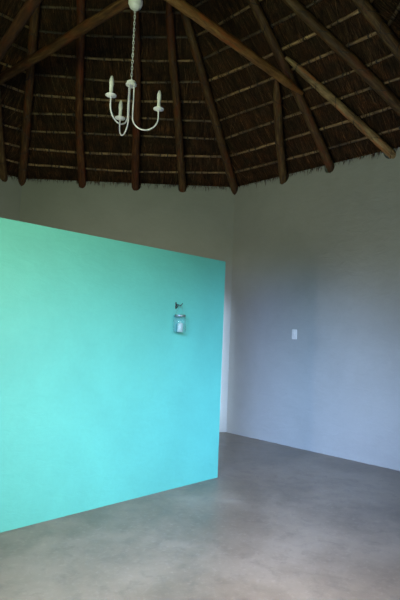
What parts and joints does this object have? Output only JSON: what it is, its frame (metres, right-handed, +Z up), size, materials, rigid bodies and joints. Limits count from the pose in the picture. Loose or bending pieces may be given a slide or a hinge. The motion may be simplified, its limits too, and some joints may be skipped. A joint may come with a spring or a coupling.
{
  "type": "rondavel hut",
  "caption": "Eight-sided plastered rondavel hut with a pole and thatch roof, open doorway, windows, headboard partition and a hanging lamp.",
  "frame": {"origin": "on the ground in the middle of the hut", "axes": "+Z up, the doorway faces -Y, +X to the right of someone who looks in at the door"},
  "size_m": [8.56, 8.56, 6.8949],
  "materials": {
    "screed": "polished cement screed",
    "plaster": "matt painted plaster, olive grey",
    "teal_plaster": "matt painted plaster, teal",
    "mortar": "cement mortar",
    "rafter_pole": "peeled and treated gum pole",
    "orange_pole": "peeled pole, orange brown",
    "brown_pole": "peeled pole, dark brown",
    "lath": "split and round laths",
    "thatch": "grass thatch",
    "joinery": "oiled timber",
    "window_glass": "clear glass",
    "jar_glass": "clear glass",
    "white_enamel": "white enamel",
    "candle_sleeve": "off-white sleeve and frosted bulb",
    "black_iron": "black painted iron",
    "lid_metal": "dull tinned lid and wire",
    "white_plastic": "white switch plate"
  },
  "bodies": {
    "root": {"floor_slab": "screed", "wall_right": "plaster", "wall_back_right": "plaster", "wall_back": "plaster", "wall_back_left": "plaster", "wall_left": "plaster", "wall_front_left": "plaster", "wall_front_right": "plaster", "wall_left_of_door": "plaster", "wall_right_of_door": "plaster", "wall_over_door": "plaster", "wall_head_filling": "plaster", "headboard_partition": "teal_plaster", "hip_rafters": "rafter_pole", "middle_rafters": "rafter_pole", "quarter_rafters": "rafter_pole", "king_block": "rafter_pole", "tie_pole_long": "orange_pole", "tie_pole_cross": "brown_pole", "tie_pole_slanting": "brown_pole", "laths_square_sides": "lath", "laths_slanting_sides": "lath", "thatch_right": "thatch", "thatch_back_right": "thatch", "thatch_back": "thatch", "thatch_back_left": "thatch", "thatch_left": "thatch", "thatch_front_left": "thatch", "thatch_front": "thatch", "thatch_front_right": "thatch", "ridge_cap": "mortar", "door_frame": "joinery", "door_leaf": "joinery", "door_hinges": "black_iron", "window_frames": "joinery", "window_glass": "window_glass", "window_sills": "mortar", "lamp_rose": "white_enamel", "lamp_chain": "white_enamel", "lamp_arms": "white_enamel", "lamp_candles": "candle_sleeve", "lantern_hook": "black_iron", "lantern_jar": "jar_glass", "lantern_lid": "lid_metal", "switch_plate": "white_plastic"}
  },
  "joints": []
}
